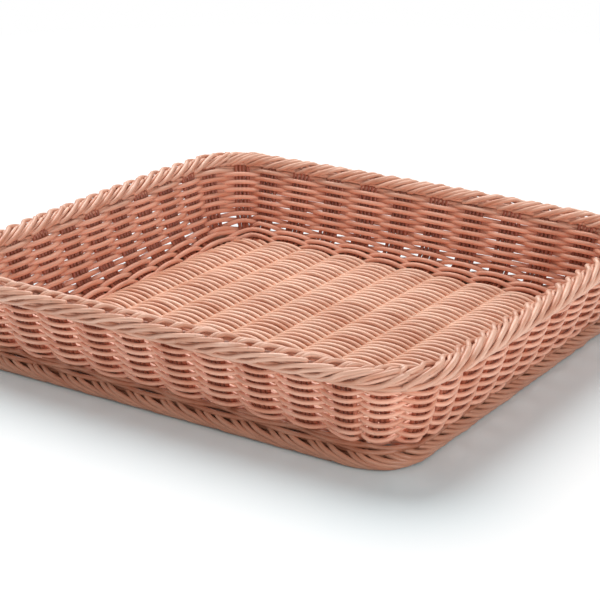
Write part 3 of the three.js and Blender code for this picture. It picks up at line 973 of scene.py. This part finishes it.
class BASKET_OT_top_border(bpy.types.Operator):
    """Roll the top border: stake ends folded over the edge and laid down along the outside"""

    bl_idname = "basket.top_border"
    bl_label = "Top border"

    SEED = 41
    STEPS = 3
    # Each knot: distance along in millimetres, angle round the roll from straight out, and
    # distance from the roll's middle line in millimetres
    FOLD = (
        (-22, 196, 4.4),
        (-17, 176, 5.3),
        (-12, 154, 5.6),
        (-6, 129, 5.8),
        (-1, 106, 6.0),
        (1.5, 88, 6.0),
        (4, 70, 5.0),
        (7, 52, 3.0),
    )
    EAR = (
        (-12.5, 170, 4.2),
        (-6.5, 146, 5.1),
        (0, 120, 5.6),
        (4, 98, 5.8),
        (6.5, 80, 5.3),
        (9, 62, 3.8),
        (12, 48, 2.4),
    )
    # Along the long sides the outer canes lie flat. At the corners and on the short sides they
    # begin higher and run down more steeply.
    FLAT_CANE = (
        (0, 50, 5.2),
        (5, 43, 5.8),
        (14, 27, 5.8),
        (23, 9, 5.6),
        (30, -12, 5.4),
        (35, -36, 5.4),
        (42, -58, 5.7),
        (53, -72, 5.9),
        (64, -84, 5.0),
    )
    STEEP_CANE = (
        (4, 78, 4.7),
        (5.5, 69, 5.9),
        (11, 51, 6.2),
        (17.5, 30, 6.0),
        (23, 5, 5.8),
        (28, -24, 5.5),
        (36, -52, 5.5),
        (48, -74, 4.8),
    )
    # Canes of a column: how far along they are shifted and how much deeper they lie, in
    # millimetres, and their thickness as a share of the border cane's
    LONG_SIDE_SHIFTS = ((0.0, 0.0, 1.0), (12.6, 0.0, 1.0))
    CORNER_SHIFTS = ((0.0, 0.0, 1.05), (6.7, 0.4, 0.95), (13.4, 0.0, 1.05), (20.1, 0.4, 0.95))
    SHORT_SIDE_SHIFTS = ((0.0, 0.0, 1.12), (6.7, 1.9, 0.9), (13.4, 0.0, 1.12), (20.1, 1.9, 0.9))
    # Canes that run straight on inside the roll: angle and distance from its middle, in millimetres
    CORES = ((10, 2.6), (150, 1.8), (190, 3.2), (235, 4.6), (300, 3.4))
    CORE_STEPS = 4
    # How far a straight side faces straight out
    STRAIGHT_OUT = 0.99
    # Small changes of a whole cane: along, angle, distance from the middle line, and thickness
    JITTER = (0.7, 2.0, 0.12)
    THICKNESS_RANGE = (0.93, 1.0)
    # The level of the last woven row, which the roll sits on
    SEAT_LEVEL = 1.845

    def roll_point(self, basket, place, angle, radius):
        point, out = basket.border_point(place)
        turn = math.radians(angle)
        point = point + out * radius * MM * math.cos(turn)
        return point + UP * (basket.border_z + radius * MM * math.sin(turn))

    def execute(self, context):
        sizes = context.scene.basket_sizes
        basket = Basket(sizes)
        random = np.random.default_rng(self.SEED)
        pitch = basket.long_border_pitch
        canes = []
        for column in range(COLUMNS):
            _, out = basket.border_point(column)
            kinds, shifts = (self.FOLD, self.STEEP_CANE), self.CORNER_SHIFTS
            if abs(out[0]) > self.STRAIGHT_OUT:
                shifts = self.SHORT_SIDE_SHIFTS
            elif abs(out[1]) > self.STRAIGHT_OUT:
                kinds, shifts = (self.FOLD, self.EAR, self.FLAT_CANE), self.LONG_SIDE_SHIFTS
            for knots, (shift, depth, thickness) in itertools.product(kinds, shifts):
                jitter = random.normal(0, 1, 3) * self.JITTER
                path = smooth_path(np.array(knots) + jitter + (shift, 0, -depth), self.STEPS)
                points = [
                    self.roll_point(basket, column - along * MM / pitch, angle, radius)
                    for along, angle, radius in path
                ]
                thickness *= random.uniform(*self.THICKNESS_RANGE)
                canes.append(Cane(points, sizes.border_cane / 2 * thickness, random.random()))
        places = np.arange(COLUMNS * self.CORE_STEPS) / self.CORE_STEPS
        for angle, radius in self.CORES:
            points = [self.roll_point(basket, place, angle, radius) for place in places]
            canes.append(Cane(points, sizes.border_cane / 2, random.random(), closed=True))
        weave = Weave(basket, sizes, random)
        canes.append(weave.ring(BEND_ROWS + WALL_ROWS, self.SEAT_LEVEL))
        material = cane_material("border_cane", context.scene.basket_colours.border)
        add_piece(context, "top_border_canes", canes, material, "cane_border", "top_border")
        return {"FINISHED"}


class BASKET_OT_foot_border(bpy.types.Operator):
    """Lay the foot border: three canes from each column, laid side by side round the underside"""

    bl_idname = "basket.foot_border"
    bl_label = "Foot border"

    SEED = 43
    STEPS = 3
    # Each knot: distance along, height and distance in from the foot's outer face, in millimetres
    FIRST_STRAND = (
        (-4, 8.2, 6.4),
        (1, 7.2, 3.4),
        (6, 5.6, 1.7),
        (12, 3.9, 1.5),
        (21, 2.4, 1.8),
        (31, 1.5, 3.4),
    )
    MIDDLE_STRAND = (
        (2, 8.8, 6.4),
        (7, 7.7, 3.2),
        (12, 6.1, 1.7),
        (19, 4.3, 1.5),
        (29, 2.6, 1.8),
        (40, 1.5, 3.4),
    )
    LAST_STRAND = (
        (9, 9, 6.4),
        (14, 8.1, 3.2),
        (19, 6.8, 1.8),
        (27, 4.8, 1.5),
        (38, 2.8, 1.8),
        (49, 1.5, 3.6),
    )
    # Small changes of a whole strand along, in height and in depth, and the range of its tone
    JITTER = (0.5, 0.15, 0.12)
    TONE_RANGE = (0.3, 1.0)
    # Canes that run on behind the strands and close the gap below the wall: height, distance in
    # from the outer face, and how far they wind to and fro, in millimetres
    RINGS = (
        (1.6, 5.8, 0),
        (4.6, 6.6, 0),
        (7.4, 7.0, 0),
        (9.8, 5.0, 1.2),
        (12.0, 5.8, -1.6),
        (12.8, 8.6, 1.6),
        (13.9, 7.0, -1.2),
        (14.6, 9.4, 0),
        (10.4, 9.6, 0),
        (9.6, 12.4, 0),
        (11.9, 11.4, 0),
        (13.4, 11.6, 0),
    )
    RING_STEPS = 8
    # The rings behind the strands take the darkest tone: painted shade, where they show between the
    # strands
    SHADED_RING_TONE = 0.0

    def execute(self, context):
        sizes = context.scene.basket_sizes
        basket = Basket(sizes)
        random = np.random.default_rng(self.SEED)
        pitch = basket.foot_half_length * 2 / (LONG_SIDE_STAKES + CORNER_STAKES)
        canes = []
        for column in range(COLUMNS):
            for knots in (self.FIRST_STRAND, self.MIDDLE_STRAND, self.LAST_STRAND):
                jitter = random.normal(0, 1, 3) * self.JITTER
                path = smooth_path(np.array(knots) + jitter, self.STEPS)
                points = []
                for along, height, depth in path:
                    point, out = basket.foot_point(column + along * MM / pitch)
                    height = max(height * MM, sizes.foot_cane / 2)
                    points.append(point - out * depth * MM + UP * height)
                tone = random.uniform(*self.TONE_RANGE)
                canes.append(Cane(points, sizes.foot_cane / 2, tone))
        places = np.arange(COLUMNS * self.RING_STEPS) / self.RING_STEPS
        for height, depth, winding in self.RINGS:
            points = []
            for place in places:
                point, out = basket.foot_point(place)
                inward = (depth + winding * math.sin(math.pi * place)) * MM
                top = basket.stake_height(out, inward) - sizes.stake_cane / 2 - sizes.foot_cane
                point = point - out * inward
                points.append(point + UP * max(sizes.foot_cane / 2, min(height * MM, top)))
            canes.append(Cane(points, sizes.foot_cane / 2, self.SHADED_RING_TONE, closed=True))
        material = cane_material("foot_cane", context.scene.basket_colours.foot)
        add_piece(context, "foot_border_canes", canes, material, "cane_foot", "foot_border")
        return {"FINISHED"}


class BASKET_OT_stage(bpy.types.Operator):
    """Set up the pale floor, the soft lamps, the white surroundings and the camera"""

    bl_idname = "basket.stage"
    bl_label = "Stage"

    # The camera, fitted to the outlines in the photograph. The focal length and the row on which
    # the origin lies are in pixels of a picture of this size.
    AZIMUTH = math.radians(33.2628)
    ELEVATION = math.radians(21.2966)
    DISTANCE = 1.1243
    FOCAL_PIXELS = 1776.55
    ORIGIN_ROW = 338.85
    PICTURE_SIDE = 600
    SENSOR = 36
    CLIP_END = 50
    FLOOR_HALF = 6.0
    # Painted light: near the basket the floor is painted a little cooler, to cancel the warm light
    # that the cane throws on it and keep its shadow grey: half the size of that field, and the width
    # over which it fades
    WHITE = (0.93, 0.93, 0.93, 1.0)
    COOL_WHITE = (0.79, 0.94, 0.98, 1.0)
    COOL_HALF = (0.15, 0.14, 1.0)
    COOL_FADE = 0.1
    # Far from the basket the camera sees the floor as plain white: where this starts, and the
    # width over which it comes on
    WHITE_REACH = 0.5
    WHITE_FADE = 0.5
    # Place and size of each lamp
    KEY_LAMP = ((-1.0, 0.8, 2.1), 2.4)
    FILL_LAMP = ((2.0, -0.5, 0.6), 1.2)
    FRONT_LAMP = ((1.0, -1.9, 0.6), 1.2)

    def execute(self, context):
        stage = context.scene.basket_stage
        self.floor(context)
        self.surroundings(context, stage.sky)
        self.lamp(context, "key_lamp", *self.KEY_LAMP, stage.key_power)
        self.lamp(context, "fill_lamp", *self.FILL_LAMP, stage.fill_power)
        self.lamp(context, "front_lamp", *self.FRONT_LAMP, stage.front_power)
        self.camera(context)
        context.scene.view_settings.view_transform = "Standard"
        return {"FINISHED"}

    def floor(self, context):
        shape = bmesh.new()
        bmesh.ops.create_grid(shape, x_segments=1, y_segments=1, size=self.FLOOR_HALF)
        mesh = bpy.data.meshes.new("stage_floor")
        shape.to_mesh(mesh)
        shape.free()
        floor = bpy.data.objects.new("stage_floor", mesh)
        context.scene.collection.objects.link(floor)
        shader = Shader(bpy.data.materials.new("stage_white"))
        place = shader.node("ShaderNodeTexCoord", output="Object")
        quarter = shader.vector("ABSOLUTE", place)
        past = shader.vector("SUBTRACT", quarter, self.COOL_HALF)
        outside = shader.vector("MAXIMUM", past, (0.0, 0.0, 0.0))
        warm = (shader.length(outside) * (1 / self.COOL_FADE)).clamped()
        colour = shader.mix(warm, self.COOL_WHITE, self.WHITE)
        lit = shader.node("ShaderNodeBsdfDiffuse", None, {"Color": colour})
        plain = shader.node("ShaderNodeEmission")
        far = ((shader.length(place) - self.WHITE_REACH) * (1 / self.WHITE_FADE)).clamped()
        seen = far * shader.node("ShaderNodeLightPath", output="Is Camera Ray")
        surface = shader.node("ShaderNodeMixShader", None, {0: seen, 1: lit, 2: plain})
        shader.node("ShaderNodeOutputMaterial", None, {"Surface": surface})
        mesh.materials.append(shader.owner)

    def surroundings(self, context, strength):
        world = bpy.data.worlds.new("surroundings")
        context.scene.world = world
        shader = Shader(world)
        seen = shader.node("ShaderNodeLightPath", output="Is Camera Ray")
        level = shader.node("ShaderNodeMix", None, {"Factor": seen, "A": strength, "B": 1.0})
        white = (1.0, 1.0, 1.0, 1.0)
        light = shader.node("ShaderNodeBackground", None, {"Color": white, "Strength": level})
        shader.node("ShaderNodeOutputWorld", None, {"Surface": light})

    def lamp(self, context, name, place, size, power):
        data = bpy.data.lights.new(name, "AREA")
        data.shape = "DISK"
        data.size = size
        data.energy = power
        lamp = bpy.data.objects.new(name, data)
        context.scene.collection.objects.link(lamp)
        lamp.location = place
        towards = -lamp.location
        lamp.rotation_euler = towards.to_track_quat("-Z", "Y").to_euler()

    def camera(self, context):
        data = bpy.data.cameras.new("camera")
        data.sensor_width = self.SENSOR
        data.lens = self.FOCAL_PIXELS * self.SENSOR / self.PICTURE_SIDE
        data.shift_y = (self.ORIGIN_ROW - self.PICTURE_SIDE / 2) / self.PICTURE_SIDE
        data.clip_end = self.CLIP_END
        camera = bpy.data.objects.new("camera", data)
        context.scene.collection.objects.link(camera)
        level = math.cos(self.ELEVATION) * self.DISTANCE
        camera.location = (
            level * math.sin(self.AZIMUTH),
            -level * math.cos(self.AZIMUTH),
            math.sin(self.ELEVATION) * self.DISTANCE,
        )
        camera.rotation_euler = (math.pi / 2 - self.ELEVATION, 0, self.AZIMUTH)
        context.scene.camera = camera


PIECES = (
    BASKET_OT_stage,
    BASKET_OT_floor,
    BASKET_OT_stakes,
    BASKET_OT_walls,
    BASKET_OT_top_border,
    BASKET_OT_foot_border,
)


class BASKET_PT_panel(bpy.types.Panel):
    """The basket's settings and its pieces, in the order in which they are made"""

    bl_label = "Bakery basket"
    bl_idname = "BASKET_PT_panel"
    bl_space_type = "VIEW_3D"
    bl_region_type = "UI"
    bl_category = "Basket"

    def draw(self, context):
        scene = context.scene
        for settings in (scene.basket_sizes, scene.basket_colours, scene.basket_stage):
            box = self.layout.box()
            for name in settings.__annotations__:
                box.prop(settings, name)
        for piece in PIECES:
            self.layout.operator(piece.bl_idname)


SETTINGS = {
    "basket_sizes": BasketSizes,
    "basket_colours": BasketColours,
    "basket_stage": BasketStage,
}
CLASSES = (*SETTINGS.values(), *PIECES, BASKET_PT_panel)


def register():
    for one in CLASSES:
        bpy.utils.register_class(one)
    for name, group in SETTINGS.items():
        setattr(bpy.types.Scene, name, PointerProperty(type=group))


def unregister():
    for name in SETTINGS:
        delattr(bpy.types.Scene, name)
    for one in reversed(CLASSES):
        bpy.utils.unregister_class(one)


def main():
    register()
    for piece in PIECES:
        group, name = piece.bl_idname.split(".")
        getattr(getattr(bpy.ops, group), name)()


if __name__ == "__main__":
    main()
